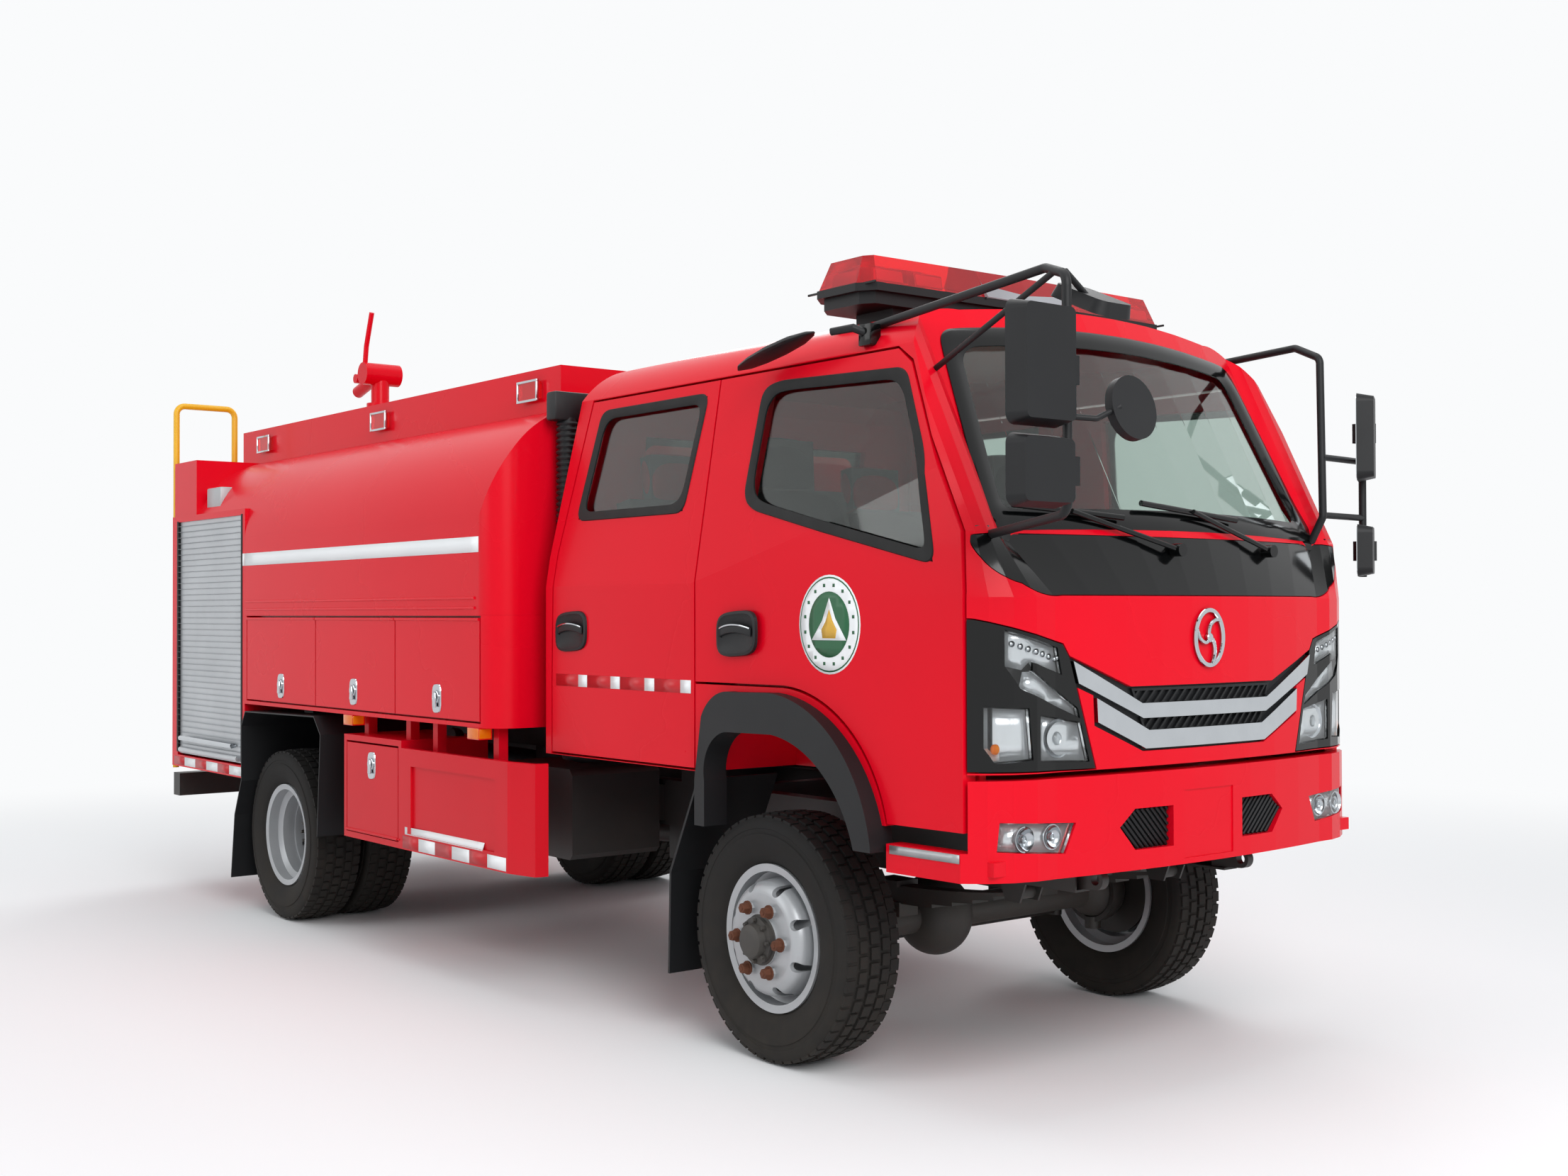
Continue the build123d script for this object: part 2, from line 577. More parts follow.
ARCH_INNER = outline((-245, 890), ((-215, 1010), (-130, 1056)), (110, 1060), ((330, 978), (505, 730)),
                     (505, 600), (-245, 600))
ARCH_OUTER = outline((-300, 890), (-262, 1100), ((-200, 1165), (-100, 1186)), (100, 1190),
                     ((410, 1062), (578, 752)), (578, 600), (-300, 600))
ARCH_HOUSING_Y = 540

# The shell's left half is cut out first, and its mirror image makes the right half
LEFT_HALF = block((-1500, 1200), (0, 1000), (700, 2500))
shell = cab_wall & LEFT_HALF
housing = side(outline((-340, 890), (-300, 1140), ((-210, 1200), (-100, 1210)), (110, 1212),
                       ((436, 1078), (560, CAB_FLOOR)), (560, 890)), (ARCH_HOUSING_Y - 20, 940))
shell = shell + (housing & cab_outer)
shell = shell - side(ARCH_OUTER, (ARCH_HOUSING_Y, 1000))
doorway = front_door_outline(DOOR_GAP) + rear_door_outline(DOOR_GAP)
shell = shell - (side(doorway, (700, 1000)) - side_core(CAB_WALL + DOOR_GAP))

# Tunnel over the engine
TUNNEL_X = (-400, 540)
TUNNEL_HALF = 330
TUNNEL_TOP = 1175
shell = shell + block(TUNNEL_X, (0, TUNNEL_HALF), (CAB_FLOOR + 2, TUNNEL_TOP))
shell = shell - block((TUNNEL_X[0] + 25, TUNNEL_X[1] - 25), (-5, TUNNEL_HALF - 25), (CAB_FLOOR - 200, TUNNEL_TOP - 25))

# Windscreen and rear window openings
SCREEN_OPENING = outline((-753, 1690), (-676, 2272), ((0, 2312), (676, 2272)), (753, 1690),
                         ((0, 1704), (-753, 1690)))
REAR_WINDOW = outline((-560, 1700), (560, 1700), (560, 2120), (-560, 2120))
shell = shell - front(SCREEN_OPENING, (350, 1100))
shell = shell - front(REAR_WINDOW, (-1400, -1150))
screen_skin = cab_form(14) - cab_form(14 + GLASS)
windscreen = screen_skin & front(grown(SCREEN_OPENING, -SEAT_GAP), (350, 1100))
rear_glass = screen_skin & front(grown(REAR_WINDOW, -SEAT_GAP), (-1400, -1150))

# Front face: headlamps, black nose panel, chrome strips and mesh are let into the shell
HEADLAMP = outline((-900, 1426), (-872, 1424), (-600, 1352), (-575, 1313), (-478, 986), (-900, 990))
NOSE_PANEL = outline((-880, 1660), ((-835, 1575), (-740, 1522)), ((-680, 1494), (-600, 1488)), (600, 1488),
                     ((680, 1494), (740, 1522)), ((835, 1575), (880, 1660)), ((0, 1700), (-880, 1660)))
GRILLE = outline((-618, 1332), (-340, 1222), (340, 1222), (618, 1332), (606, 1246), (490, 1200), (486, 1112),
                 (292, 1030), (-292, 1030), (-486, 1112), (-490, 1200), (-606, 1246))
STRIP_UPPER = outline((-612, 1321), (-300, 1172), (300, 1172), (612, 1321), (592, 1254), (296, 1128),
                      (-296, 1128), (-592, 1254))
STRIP_LOWER = outline((-482, 1192), (-272, 1092), (272, 1092), (482, 1192), (478, 1122), (286, 1038),
                      (-286, 1038), (-478, 1122))
MESH_FIELD = outline((-332, 1216), (332, 1216), (268, 1060), (-268, 1060))
skin_12 = cab_form(12)
skin_proud = cab_form(-7)
skin_24 = cab_form(24)
front_zone = (CAB_SEAM_X + DOOR_GAP, 1100)

lamp_field = mirrored(front(HEADLAMP, front_zone))
shell = shell - lamp_field
panel_field = front(NOSE_PANEL, front_zone) & block((800, 1200), (-900, 900), (1400, BELT_Z - 2))
shell = shell - (panel_field - skin_12)
shell = shell - (front(GRILLE, (900, 1100)) - skin_24)
skin_30 = cab_form(30)
lamp_body = (((cab_outer - skin_30) & front(grown(HEADLAMP, -4), front_zone))
             + ((skin_30 - cab_inner) & front(grown(HEADLAMP, -SEAT_GAP), front_zone)))

# Lamp pockets: side marker, main lamp, and the bright guide bent along the inner edge
LAMP_POCKETS = {
    "marker": outline((-852, 1178), (-728, 1170), (-716, 1024), (-826, 1016), (-852, 1060)),
    "main": outline((-690, 1150), (-535, 1124), (-505, 1010), (-690, 1018)),
    "guide": outline((-800, 1392), (-622, 1340), (-606, 1262), (-717, 1300), (-717, 1276), (-548, 1166),
                     (-540, 1136), (-756, 1226), (-800, 1290)),
}
lenses = []
for pocket in LAMP_POCKETS.values():
    lamp_body = lamp_body - (front(pocket, front_zone) - skin_24)
    lens = (cab_wall & front(grown(pocket, -2), front_zone)) - skin_24
    lenses.append(lens & cab_form(5))
save("headlamp_housings", lamp_body + mirrored(lamp_body))

nose_panel = (cab_form(1) - cab_form(12 - SEAT_GAP)) & front(grown(NOSE_PANEL, -3), front_zone)
nose_panel = nose_panel & block((800, 1200), (-900, 900), (1400, BELT_Z - 5))

# Wipers lie on the panel's upper edge and the screen: pivot, arm and blade
WIPERS = (
    # pivot y, pivot z, blade inner end y, blade inner z, blade outer end y, blade outer z
    (-105, 1628, -300, 1722, -690, 1752),
    (384, 1634, 240, 1730, -200, 1770),
)


def screen_x(y, z):
    """How far forward the windscreen's face stands at a height, for its bowed plan."""
    slope = (SCREEN_TOP_X - SCREEN_BASE_X) / (SCREEN_TOP_Z - BELT_Z)
    return SCREEN_BASE_X + slope * (z - BELT_Z) - (SCREEN_BASE_X - SCREEN_FACE_X) * (y / SCREEN_FACE_HALF) ** 2


nose_parts = [nose_panel]
for pivot_y, pivot_z, in_y, in_z, out_y, out_z in WIPERS:
    pivot_x = screen_x(pivot_y, pivot_z)
    start = (pivot_x + 24, pivot_y, pivot_z)
    mid_y = (in_y + out_y) / 2
    mid_z = (in_z + out_z) / 2
    mid = (screen_x(mid_y, mid_z) + 36, mid_y, mid_z)
    arm = rod(start, mid, 8)
    knob = rod((pivot_x - 2, pivot_y, pivot_z), (pivot_x + 36, pivot_y, pivot_z), 20)
    blade = rod((screen_x(in_y, in_z) + 30, in_y, in_z), (screen_x(out_y, out_z) + 30, out_y, out_z), 9)
    nose_parts.append(fuse([arm, knob, blade]))
save("nose_panel", fuse(nose_parts))

# Grille: a plate in the shell's recess, bars in front of it, and two bright strips across
lamp_room = front(grown(HEADLAMP, 2), (850, 1100))
lamp_room = lamp_room + mirrored(lamp_room)
GRILLE_PLATE = 15
strip_skin = skin_proud - cab_form(GRILLE_PLATE - SEAT_GAP)
strips = [strip_skin & front(face, (900, 1100)) for face in (STRIP_UPPER, STRIP_LOWER)]
save("chrome_strips", strips[0] + strips[1] - lamp_room)

# Mesh of slanted bars behind the strips and in the bumper's two vents
MESH_PITCH = 34
MESH_BAR = 9


def slanted_bars(face, x, low, high, half):
    """Bars that lean across a field drawn in y and z, cut to its outline, with a rim round it."""
    bars = []
    count = int((2 * half + (high - low)) / MESH_PITCH) + 1
    for i in range(count):
        y = -half - (high - low) + i * MESH_PITCH
        bars.append(front(outline((y, low), (y + MESH_BAR, low), (y + MESH_BAR + high - low, high),
                                  (y + high - low, high)), x))
    field = front(face, x)
    rim = field - front(grown(face, -8), (x[0] - 1, x[1] + 1))
    return fuse([bar & field for bar in bars if (bar & field).volume > 1] + [rim])


strip_room = fuse([front(grown(face, 1), (850, 1100)) for face in (STRIP_UPPER, STRIP_LOWER)])
bar_skin = cab_form(6) - cab_form(GRILLE_PLATE + 1)
mesh = (slanted_bars(MESH_FIELD, (960, 1100), 1060, 1216, 332) & bar_skin) - strip_room
grille_plate = (cab_form(GRILLE_PLATE) - cab_form(24 - SEAT_GAP)) & front(grown(GRILLE, -SEAT_GAP), (850, 1100))
mesh = mesh + (grille_plate - lamp_room)
save("cab_glass", windscreen + rear_glass)

pane_skin = cab_form(18) - cab_form(18 + GLASS)
for name, sign in SIDES:
    for which in ("front", "rear"):
        door = door_shapes[which]
        save("door_" + which + "_" + name, door if sign > 0 else mirrored(door))
        pane = pane_skin & side(grown(WINDOWS[which], -SEAT_GAP), (700, 1000))
        save("door_glass_" + which + "_" + name, pane if sign > 0 else mirrored(pane))

# Bumper with vents, fog lamp recesses and corner steps under the doors
bumper_outer = top(cab_plan(-4, CAB_SEAM_X, CAB_SEAM_HALF + 8, FACE_X, FACE_HALF, NOSE_X), (BUMPER_LOW, BUMPER_TOP))
bumper_inner = top(cab_plan(BUMPER_WALL, CAB_SEAM_X - 20, CAB_SEAM_HALF + 8, FACE_X, FACE_HALF, NOSE_X),
                   (BUMPER_LOW - 10, BUMPER_TOP + 10))
bumper_keep = side(outline((592, BUMPER_LOW), (1100, BUMPER_LOW), (1100, BUMPER_TOP), (BUMPER_START, BUMPER_TOP),
                           (BUMPER_START, STEP_TOP), (592, STEP_TOP)), (-1000, 1000))
bumper = (bumper_outer - bumper_inner) & bumper_keep
bumper = bumper + (block((CAB_SEAM_X - 20, 965), (-850, 850), (BUMPER_LOW + 20, BUMPER_LOW + 60)))
VENT = outline((166, 863), (330, 863), (392, 812), (330, 742), (166, 742))
FOG = outline((560, 838), (818, 852), (826, 770), (600, 752))
bumper = bumper - front(VENT, (900, 1100)) - mirrored(front(VENT, (900, 1100)))
fog_pocket = front(FOG, (900, 1100)) - top(cab_plan(30, CAB_SEAM_X, CAB_SEAM_HALF + 8, FACE_X, FACE_HALF, NOSE_X),
                                           (600, 1000))
bumper = bumper - fog_pocket - mirrored(fog_pocket)
plate_recess = front(outline((-118, 700), (118, 700), (118, 905), (-118, 905)), (NOSE_X - 2, 1100))
save("front_bumper", bumper - plate_recess)
fog_lens = (front(grown(FOG, -2), (900, 1100))
            & top(cab_plan(2, CAB_SEAM_X, CAB_SEAM_HALF + 8, FACE_X, FACE_HALF, NOSE_X), (600, 1000)))
fog_lens = fog_lens - top(cab_plan(30 - SEAT_GAP, CAB_SEAM_X, CAB_SEAM_HALF + 8, FACE_X, FACE_HALF, NOSE_X), (590, 1010))
lenses.append(fog_lens)
right_lenses = fuse(lenses)
save("lamp_lenses", right_lenses + mirrored(right_lenses))
vent_mesh = front(grown(VENT, -SEAT_GAP), (1000, 1014))
save("grille_mesh", mesh + vent_mesh + mirrored(vent_mesh))

# Wheel arch flares with the front mudflaps behind the wheels
FLARE_OUT = 968
flare_band = side(ARCH_OUTER, (CAB_HALF - 70, FLARE_OUT)) - side(ARCH_INNER, (CAB_HALF - 80, FLARE_OUT + 10))
flare_band = flare_band & block((-400, 700), (800, 1000), (740, 1300))
flap = side(outline((-330, 888), (-320, 888), (-482, 560), (-492, 215), (-502, 215), (-492, 564)), (600, 935))
flap = flap + side(outline((-326, 800), (-290, 800), (-290, 885), (-326, 885)), (880, 935))
flare_band = flare_band + flap
save("arch_flares", flare_band + mirrored(flare_band))

save("cab_shell", shell + mirrored(shell))


# Seats, dashboard and steering wheel inside
def seat(x, y, wide, foot_z):
    """A seat drawn from its cushion, back and head rest; x is the front of the cushion."""
    base = block((x - 420, x - 20), (y - wide / 2 + 30, y + wide / 2 - 30), (foot_z + SEAT_GAP, 1240))
    cushion = side(outline((x, 1235), (x, 1310), ((x - 220, 1345), (x - 470, 1310)), (x - 470, 1230)),
                   (y - wide / 2, y + wide / 2))
    back = side(outline((x - 440, 1290), (x - 560, 1290), (x - 700, 1850), (x - 610, 1865)),
                (y - wide / 2, y + wide / 2))
    return fuse([base, cushion, back])


def head_rest(x, y):
    return (side(outline((x - 640, 1855), (x - 690, 1855), (x - 720, 2030), (x - 650, 2040)), (y - 130, y + 130)))


inside = [seat(340, sign * 575, 470, 1212) + head_rest(340, sign * 575) for sign in (1, -1)]
bench = seat(-400, 0, 1500, CAB_FLOOR + CAB_FLOOR_WALL)
for y in (-500, 0, 500):
    bench = bench + head_rest(-400, y)
dash = side(outline((840, 1150), (840, 1560), (700, 1590), (560, 1500), (590, 1330), (760, 1150)), (-740, 740))
dash = dash + block((470, 640), (-180, 180), (TUNNEL_TOP + SEAT_GAP, 1400))
hub = Vector(470, -420, 1480)
tilt = Plane(origin=hub, z_dir=(-0.72, 0, 0.69))
wheel_ring = tilt * Torus(200, 14)
spokes = tilt * (Box(392, 34, 12) + Box(34, 392, 12) + Cylinder(45, 30))
column = rod((470, -420, 1480), (700, -420, 1270), 26)
inside += [bench, fuse([dash, column, spokes, wheel_ring])]
save("cab_interior", fuse(inside))


# Light bar: a base deck on two feet with boat-shaped lenses over it
BAR_X = 145
BAR_HALF = 720
BAR_LOW = 2440
BAR_TOP = 2580
bar_plan = outline((BAR_X + 150, -BAR_HALF + 40), (BAR_X + 165, 0), (BAR_X + 150, BAR_HALF - 40),
                   (BAR_X + 90, BAR_HALF), (BAR_X - 100, BAR_HALF), (BAR_X - 165, BAR_HALF - 70),
                   (BAR_X - 175, 0), (BAR_X - 165, -BAR_HALF + 70), (BAR_X - 100, -BAR_HALF), (BAR_X + 90, -BAR_HALF))
bar_lens = extrude(Pos(0, 0, BAR_LOW + 46) * grown(bar_plan, -6), amount=BAR_TOP - BAR_LOW - 46, taper=22)
bar_base = top(bar_plan, (BAR_LOW + 20, BAR_LOW + 46 - SEAT_GAP)) + top(grown(bar_plan, -22), (BAR_LOW - 18, BAR_LOW + 20))
feet = []
for sign in (1, -1):
    foot = block((BAR_X - 90, BAR_X + 90), sorted((sign * 470, sign * 560)), (2300, BAR_LOW))
    feet.append(foot - cab_outer)
bar_base = fuse([bar_base] + feet)
save("light_bar_base", bar_base)
save("light_bar_lenses", bar_lens)


# Mirrors: bent tube stays with clamped housings
def mirror_head(x, y, z, wide, high, deep, turn):
    """A rounded mirror housing; its face looks back along x, turned about its own upright."""
    face = Rot(0, 90, 0) * RectangleRounded(high, wide, 30)
    body = extrude(face, amount=deep, dir=(1, 0, 0), taper=12)
    return Pos(x, y, z) * Rot(0, 0, turn) * body


POLE_X = 1290
POLE_Y = -900
stay_right = bent_bar([(330, -770, 2318), (1165, -845, 2372), (POLE_X, POLE_Y, 2330), (POLE_X, POLE_Y, 1700),
                       (895, -800, 1660)], 13, 40)
strut = rod((1225, -872, 2352), (630, -770, 2152), 9)
heads_right = [
    mirror_head(POLE_X - 4, -1022, 2082, 210, 322, 64, 0),
    mirror_head(POLE_X - 4, -1022, 1806, 210, 190, 58, 0),
]
clamps = [block((POLE_X - 24, POLE_X + 24), (-945, POLE_Y + 22), (z - 38, z + 38)) for z in (2075, 1810)]
round_arm = bent_bar([(POLE_X, POLE_Y, 1955), (POLE_X + 40, -830, 1950), (POLE_X + 60, -760, 1985)], 8, 20)
round_head = Pos(POLE_X + 50, -705, 1985) * Rot(0, 80, -20) * Cylinder(88, 26)
look_down = extrude(Pos(1225, -735, 2268) * Rot(0, 24, 0) * RectangleRounded(210, 150, 40), amount=38, taper=14)
look_arm = rod((POLE_X - 30, -872, 2345), (1232, -738, 2284), 9)
clear_of_cab = cab_form(-SEAT_GAP)
right = fuse([stay_right, strut, round_arm, round_head, look_down, look_arm] + heads_right + clamps)
save("mirror_right", right - clear_of_cab)

FAR_X = 900
FAR_Y = 1045
NEAR_X = 930
NEAR_Y = 765
stay_left = bent_bar([(330, 770, 2318), (800, 800, 2350), (915, 775, 2300), (NEAR_X, NEAR_Y, 1760),
                      (880, 757, 1660)], 13, 30)
pole_left = rod((FAR_X, FAR_Y, 1560), (FAR_X, FAR_Y, 2140), 13)
arms_left = [rod((NEAR_X - 2, NEAR_Y, z), (FAR_X, FAR_Y, z), 11) for z in (1962, 1766)]
heads_left = [
    mirror_head(928, 975, 2040, 150, 300, 56, 30),
    mirror_head(928, 975, 1650, 150, 180, 50, 30),
]
clamps_left = [block((FAR_X - 16, FAR_X + 44), (1010, 1062), (z - 34, z + 34)) for z in (2060, 1650)]
left = fuse([stay_left, pole_left] + arms_left + heads_left + clamps_left)
save("mirror_left", left - clear_of_cab)

# Intake snorkel behind the cab on the right
snorkel = block((-1372, -1304), (-900, -760), (1380, 2180))
snorkel = snorkel + block((-1372, -1304), (-900, -700), (2180, 2290))
snorkel = snorkel + rod((-1338, -800, 1395), (-1338, -800, 920), 38)
snorkel = snorkel + rod((-1338, -838, 900), (-1338, -350, 900), 38)
snorkel = snorkel + block((-1352, -1324), (-388, -328), (RAIL_TOP + SEAT_GAP, 900))
save("intake_snorkel", snorkel)

# Fuel tank on the right and battery box on the left, each slung from a rail
fuel = side(outline((-1290, 520), (-1310, 500), (-1840, 500), (-1860, 520), (-1860, 820), (-1840, 845), (-1310, 845),
                    (-1290, 820)), (-830, -430))
fuel = fuel + block((-1840, -1310), (-435, -RAIL_OUTER_Y - SEAT_GAP), (620, 760))
battery = block((-1850, -1300), (430, 800), (560, 830))
battery = battery + block((-1840, -1310), (RAIL_OUTER_Y + SEAT_GAP, 435), (620, 760))
save("fuel_tank", fuel + battery)


# Tank and lockers: one plan for both, with round front corners
def body_plan(grow, corner):
    h = BODY_HALF + grow
    f = BODY_FRONT + grow
    c = corner
    k = c * (1 - sqrt(0.5))
    return outline(
        (CABINET_FRONT, -h), (f - c, -h), ((f - k, -h + k), (f, -h + c)), (f, h - c),
        ((f - k, h - k), (f - c, h)), (CABINET_FRONT, h))


tank_section = outline(
    (-BODY_HALF, HINGE_LINE), (-BODY_HALF, SHOULDER_Z), ((-1012, 2082), (-DECK_HALF, DECK_Z)), (DECK_HALF, DECK_Z),
    ((1012, 2082), (BODY_HALF, SHOULDER_Z)), (BODY_HALF, HINGE_LINE))
tank = top(body_plan(0, BODY_CORNER), (HINGE_LINE, DECK_Z)) & front(tank_section, (CABINET_FRONT, BODY_FRONT))
deck_end = -4800
deck_front = -1500
walls = block((deck_end, deck_front), (-DECK_HALF, DECK_HALF), (DECK_Z + SEAT_GAP, DECK_WALL_TOP))
walls = walls - block((deck_end + DECK_SHEET, deck_front - DECK_SHEET), (-DECK_HALF + DECK_SHEET, DECK_HALF - DECK_SHEET),
                      (DECK_Z - 10, DECK_WALL_TOP + 10))
HATCH_X = -2300
HATCH_RADIUS = 250
neck = rod((HATCH_X, 0, DECK_Z - 5), (HATCH_X, 0, DECK_Z + 90), HATCH_RADIUS)
neck = neck - rod((HATCH_X, 0, DECK_Z + 10), (HATCH_X, 0, DECK_Z + 100), HATCH_RADIUS - 14)
save("tank_body", fuse([tank, neck]))
hatch = rod((HATCH_X, 0, DECK_Z + 90 + SEAT_GAP), (HATCH_X, 0, DECK_Z + 112), HATCH_RADIUS + 15)
hatch_knuckle = rod((HATCH_X - HATCH_RADIUS - 40, -60, DECK_Z + 100), (HATCH_X - HATCH_RADIUS - 40, 60, DECK_Z + 100), 14)
hatch = fuse([hatch, hatch_knuckle, block((HATCH_X - HATCH_RADIUS - 40, HATCH_X - 200), (-50, 50),
                                          (DECK_Z + 92, DECK_Z + 112))])
save("tank_hatch", hatch)
save("deck_walls", walls)

# Lockers: three each side, open behind their doors
LOCKER_SPLITS = (-1500, -2222, -3020, -3830)
locker_top = HINGE_LINE - SEAT_GAP
cabinet = top(body_plan(0, BODY_CORNER), (LOCKER_FLOOR, locker_top))
cabinet = cabinet - block((CABINET_FRONT - 10, BODY_FRONT - LOCKER_WALL),
                          (-BODY_HALF + LOCKER_DEPTH + LOCKER_WALL, BODY_HALF - LOCKER_DEPTH - LOCKER_WALL),
                          (LOCKER_FLOOR + LOCKER_WALL, locker_top - LOCKER_WALL))
door_low = LOCKER_FLOOR + 24
door_high = HINGE_LINE - 10
for sign in (1, -1):
    for i in range(3):
        x_front = LOCKER_SPLITS[i] - LOCKER_GAP / 2
        x_rear = LOCKER_SPLITS[i + 1] + LOCKER_GAP / 2
        room = sorted((sign * (BODY_HALF - LOCKER_DEPTH), sign * (BODY_HALF + 5)))
        cabinet = cabinet - block((x_rear + 20, x_front - 20), room, (LOCKER_FLOOR + LOCKER_WALL + 15, locker_top - LOCKER_WALL - 15))
        rebate = sorted((sign * (BODY_HALF - LOCKER_DOOR_THICK - SEAT_GAP), sign * (BODY_HALF + 5)))
        cabinet = cabinet - block((x_rear - LOCKER_GAP, x_front + LOCKER_GAP), rebate, (door_low - LOCKER_GAP, door_high + LOCKER_GAP))
save("locker_cabinets", cabinet)
for name, sign in SIDES:
    for i in range(3):
        x_front = LOCKER_SPLITS[i] - LOCKER_GAP / 2
        x_rear = LOCKER_SPLITS[i + 1] + LOCKER_GAP / 2
        skin = sorted((sign * (BODY_HALF - LOCKER_DOOR_THICK), sign * BODY_HALF))
        door = block((x_rear, x_front), skin, (door_low, door_high))
        hinge_y = sign * (BODY_HALF + 1)
        door = door + rod((x_rear, hinge_y, door_high - 6), (x_front, hinge_y, door_high - 6), 6)
        save("locker_door_" + name + "_" + str(i + 1), door)

# Pump cabinet at the rear, with roller shutters at both sides and at the back
cab_x = (CABINET_REAR, CABINET_FRONT - SEAT_GAP)
pump = block(cab_x, (-BODY_HALF, BODY_HALF), (CABINET_FLOOR, CABINET_TOP))
UPPER_BOX_FRONT = -4550
upper_section = outline(
    (-1098, CABINET_TOP - 5), (-1098, DECK_Z), (1098, DECK_Z), (1098, CABINET_TOP - 5))
pump = pump + front(upper_section, (CABINET_REAR, UPPER_BOX_FRONT))
pump = pump + (front(tank_section, (UPPER_BOX_FRONT - 10, CABINET_FRONT - SEAT_GAP))
               & block((UPPER_BOX_FRONT - 10, CABINET_FRONT), (-1200, 1200), (1900, 2300)))
pump = pump - block((CABINET_REAR + 40, CABINET_FRONT - 40), (-BODY_HALF + 30, BODY_HALF - 30), (CABINET_FLOOR + 30, CABINET_TOP - 30))
SHUTTER_X = (-4790, -3905)
SHUTTER_Z = (700, 1925)
for sign in (1, -1):
    hole = sorted((sign * (BODY_HALF - 60), sign * (BODY_HALF + 5)))
    pump = pump - block(SHUTTER_X, hole, SHUTTER_Z)
REAR_SHUTTER_Z = (880, SHUTTER_Z[1])
pump = pump - block((CABINET_REAR - 5, CABINET_REAR + 60), (-800, 800), REAR_SHUTTER_Z)
pump = pump - block((CABINET_REAR - 5, CABINET_FRONT + 10), (-600, 600), (CABINET_FLOOR - 5, 862))
for x, reach in BODY_BEARERS[-2:]:
    for sign in (1, -1):
        pump = pump + block((x - 30, x + 30), sorted((sign * 700, sign * 1000)),
                            (CABINET_FLOOR + 20, RAIL_TOP - 2 - SEAT_GAP))
save("pump_cabinet", pump)

SLAT_PITCH = 45
slats = []
for sign in (1, -1):
    y = sign * (BODY_HALF - 16)
    curtain = block((SHUTTER_X[0] + SEAT_GAP, SHUTTER_X[1] - SEAT_GAP), sorted((y - 5, y + 5)),
                    (SHUTTER_Z[0] + 10, SHUTTER_Z[1] - SEAT_GAP))
    bar = rod((SHUTTER_X[0] + 40, sign * (BODY_HALF - 2), 730), (SHUTTER_X[1] - 40, sign * (BODY_HALF - 2), 730), 14)
    slats.append(curtain + bar)
slats.append(block((CABINET_REAR + 10, CABINET_REAR + 20), (-800 + SEAT_GAP, 800 - SEAT_GAP),
                   (REAR_SHUTTER_Z[0] + SEAT_GAP, REAR_SHUTTER_Z[1] - SEAT_GAP)))
save("roller_shutters", fuse(slats))

# Water monitor: base pipe, swivel body and barrel
MONITOR_X = -4700
SWIVEL_Z = 2600
TILT_Z = 2790
base = rod((MONITOR_X, 0, DECK_Z + SEAT_GAP), (MONITOR_X, 0, DECK_Z + 22), 86) + rod((MONITOR_X, 0, DECK_Z + 20),
                                                                                 (MONITOR_X, 0, SWIVEL_Z), 48)
base = base + rod((MONITOR_X, 0, SWIVEL_Z - 24), (MONITOR_X, 0, SWIVEL_Z), 75)
save("monitor_base", base)
swivel = rod((MONITOR_X, 0, SWIVEL_Z + SEAT_GAP), (MONITOR_X, 0, SWIVEL_Z + 26), 75)
swivel = swivel + rod((MONITOR_X, 0, SWIVEL_Z + 20), (MONITOR_X, 0, TILT_Z), 50)
swivel = swivel + rod((MONITOR_X, -78, TILT_Z), (MONITOR_X, 78, TILT_Z), 62)
save("monitor_swivel", swivel)
arm_y = 78 + SEAT_GAP
barrel = rod((MONITOR_X, arm_y, TILT_Z), (MONITOR_X, arm_y + 30, TILT_Z), 62)
barrel = barrel + rod((MONITOR_X, -arm_y - 30, TILT_Z), (MONITOR_X, -arm_y, TILT_Z), 62)
for y in (-arm_y - 15, arm_y + 15):
    barrel = barrel + rod((MONITOR_X, y, TILT_Z), (MONITOR_X - 95, y, TILT_Z - 20), 15)
barrel = barrel + rod((MONITOR_X - 95, -arm_y - 30, TILT_Z - 20), (MONITOR_X - 95, arm_y + 30, TILT_Z - 20), 26)
barrel = barrel + rod((MONITOR_X - 85, 0, TILT_Z - 18), (MONITOR_X - 290, 0, TILT_Z - 70), 34)
lever = bent_bar([(MONITOR_X, -arm_y - 15, TILT_Z + 30), (MONITOR_X + 20, -arm_y - 15, TILT_Z + 150),
                  (MONITOR_X + 90, -arm_y - 15, TILT_Z + 330)], 14, 30)
save("monitor_barrel", barrel + lever)

# Yellow hoop at the head of the rear ladder
LADDER_X = -4935
LADDER_Y = (-1068, -750)
hoop = bent_bar([(LADDER_X, LADDER_Y[0], 620), (LADDER_X, LADDER_Y[0], 2560), (LADDER_X, LADDER_Y[1], 2560),
                 (LADDER_X, LADDER_Y[1], 620)], 16, 45)
for i in range(6):
    z = 700 + i * 290
    hoop = hoop + rod((LADDER_X, LADDER_Y[0], z), (LADDER_X, LADDER_Y[1], z), 12)
for z in (900, 2000):
    for y in LADDER_Y:
        hoop = hoop + rod((LADDER_X, y, z), (CABINET_REAR - SEAT_GAP, y, z), 12)
save("access_ladder", hoop)

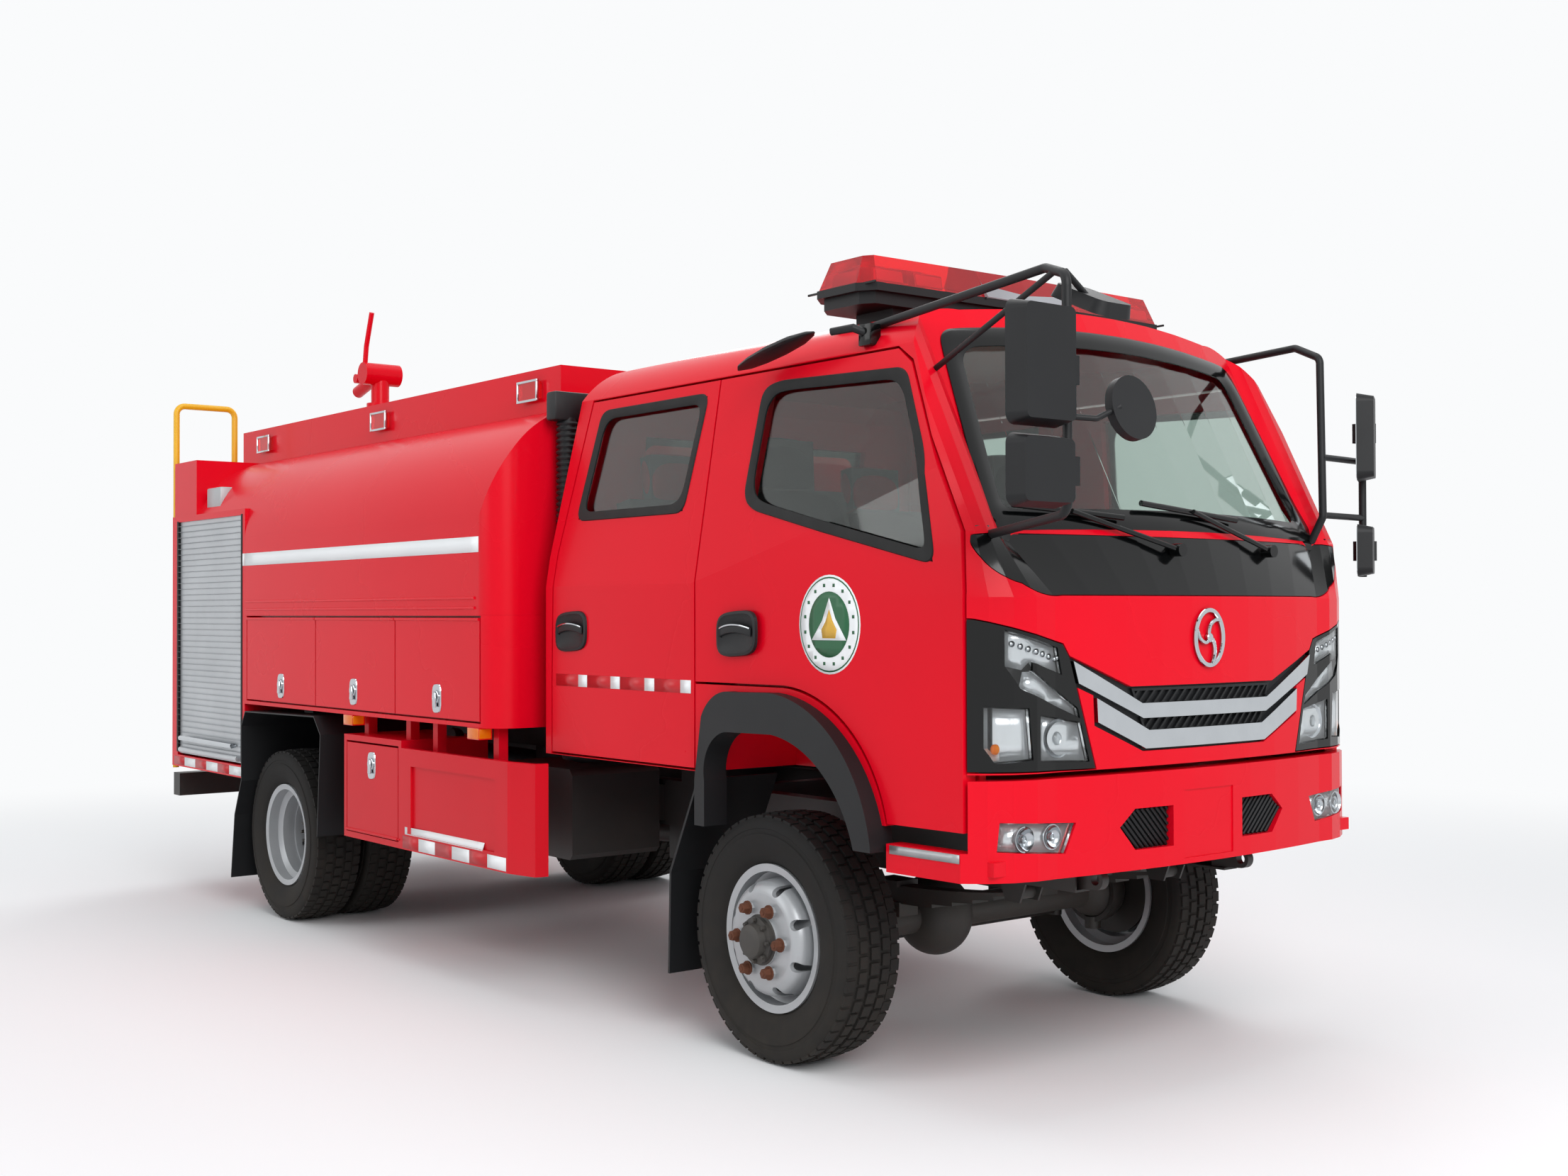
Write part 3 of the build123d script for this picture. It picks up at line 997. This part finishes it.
# Side guards, with the toolbox on the right
GUARD_LOW = 478
GUARD_TOP = 890
guard_face = outline((-2165, GUARD_LOW), (-1290, GUARD_LOW), (-1290, GUARD_TOP), (-2165, GUARD_TOP))
guard = side(guard_face, (-BODY_HALF, -BODY_HALF + 26))
guard = guard - side(outline((-2080, 545), (-1390, 545), (-1390, 820), (-2080, 820)), (-BODY_HALF - 5, -BODY_HALF + 10))
guard = guard + top(outline((-1291, -BODY_HALF), (-1140, -BODY_HALF + 30), (-1130, -BODY_HALF + 80), (-1150, -BODY_HALF + 90),
                            (-1165, -BODY_HALF + 50), (-1291, -BODY_HALF + 26)), (GUARD_LOW, GUARD_TOP))
arms = [block((x - 20, x + 20), (-BODY_HALF + 24, -1000), (720, 770)) for x in (-1500, -2000)]
posts = [block((x - 20, x + 20), (-1040, -1000), (720, LOCKER_FLOOR - SEAT_GAP)) for x in (-1500, -2000)]
guard = fuse([guard] + arms + posts)
toolbox = block((-2715, -2165), (-BODY_HALF, -BODY_HALF + 400), (GUARD_LOW, GUARD_TOP + 30))
for x in (-2640, -2240):
    toolbox = toolbox + block((x - 20, x + 20), (-1040, -1000), (GUARD_TOP + 20, LOCKER_FLOOR - SEAT_GAP))
toolbox = toolbox - block((-2690, -2190), (-BODY_HALF - 5, -BODY_HALF + 375), (GUARD_LOW + 25, GUARD_TOP + 5))
pin_y, pin_z = -BODY_HALF, GUARD_LOW + 35
hinge_pin = rod((-2700, pin_y, pin_z), (-2180, pin_y, pin_z), 4)
save("side_guards", fuse([guard, toolbox, hinge_pin]) + mirrored(guard))
tool_door = block((-2690 + 6, -2190 - 6), (-BODY_HALF, -BODY_HALF + 22), (pin_z, GUARD_TOP + 5 - 8))
tool_door = tool_door + rod((-2684, pin_y, pin_z), (-2196, pin_y, pin_z), 6.5)
save("toolbox_door", tool_door - rod((-2695, pin_y, pin_z), (-2185, pin_y, pin_z), 4 + SEAT_GAP))

# Rear mudguards: folded sheet with a flap behind the wheels
sheet = side(outline((-2954, 450), (-2960, 450), (-2926, 902), (-2997, 978), (-3800, 966), (-3846, 898),
                     (-3846, 632), (-3930, 460), (-3975, 150), (-3981, 150), (-3936, 462), (-3852, 634),
                     (-3852, 900), (-3803, 972), (-2995, 984), (-2920, 904)), (560, 1130))
sheet = sheet + block((CABINET_FRONT, -3850), (700, 900), (700, 850))
sheet = sheet + block((-3400, -3300), (700, 1000), (974, LOCKER_FLOOR - SEAT_GAP))
save("rear_mudguards", sheet + mirrored(sheet))

# Small lamps: deck side lamps, markers and tail lamps
lamps = []
for sign in (1, -1):
    for x in (-1718, -3086, -4463):
        lamps.append(block((x - 70, x + 70), sorted((sign * (DECK_HALF + SEAT_GAP), sign * (DECK_HALF + 26))), (2300, 2368)))
    for x in (-1540, -2660):
        lamps.append(block((x - 45, x + 45), sorted((sign * 1060, sign * 1118)), (960, LOCKER_FLOOR - SEAT_GAP)))
save("small_lamps", fuse(lamps))
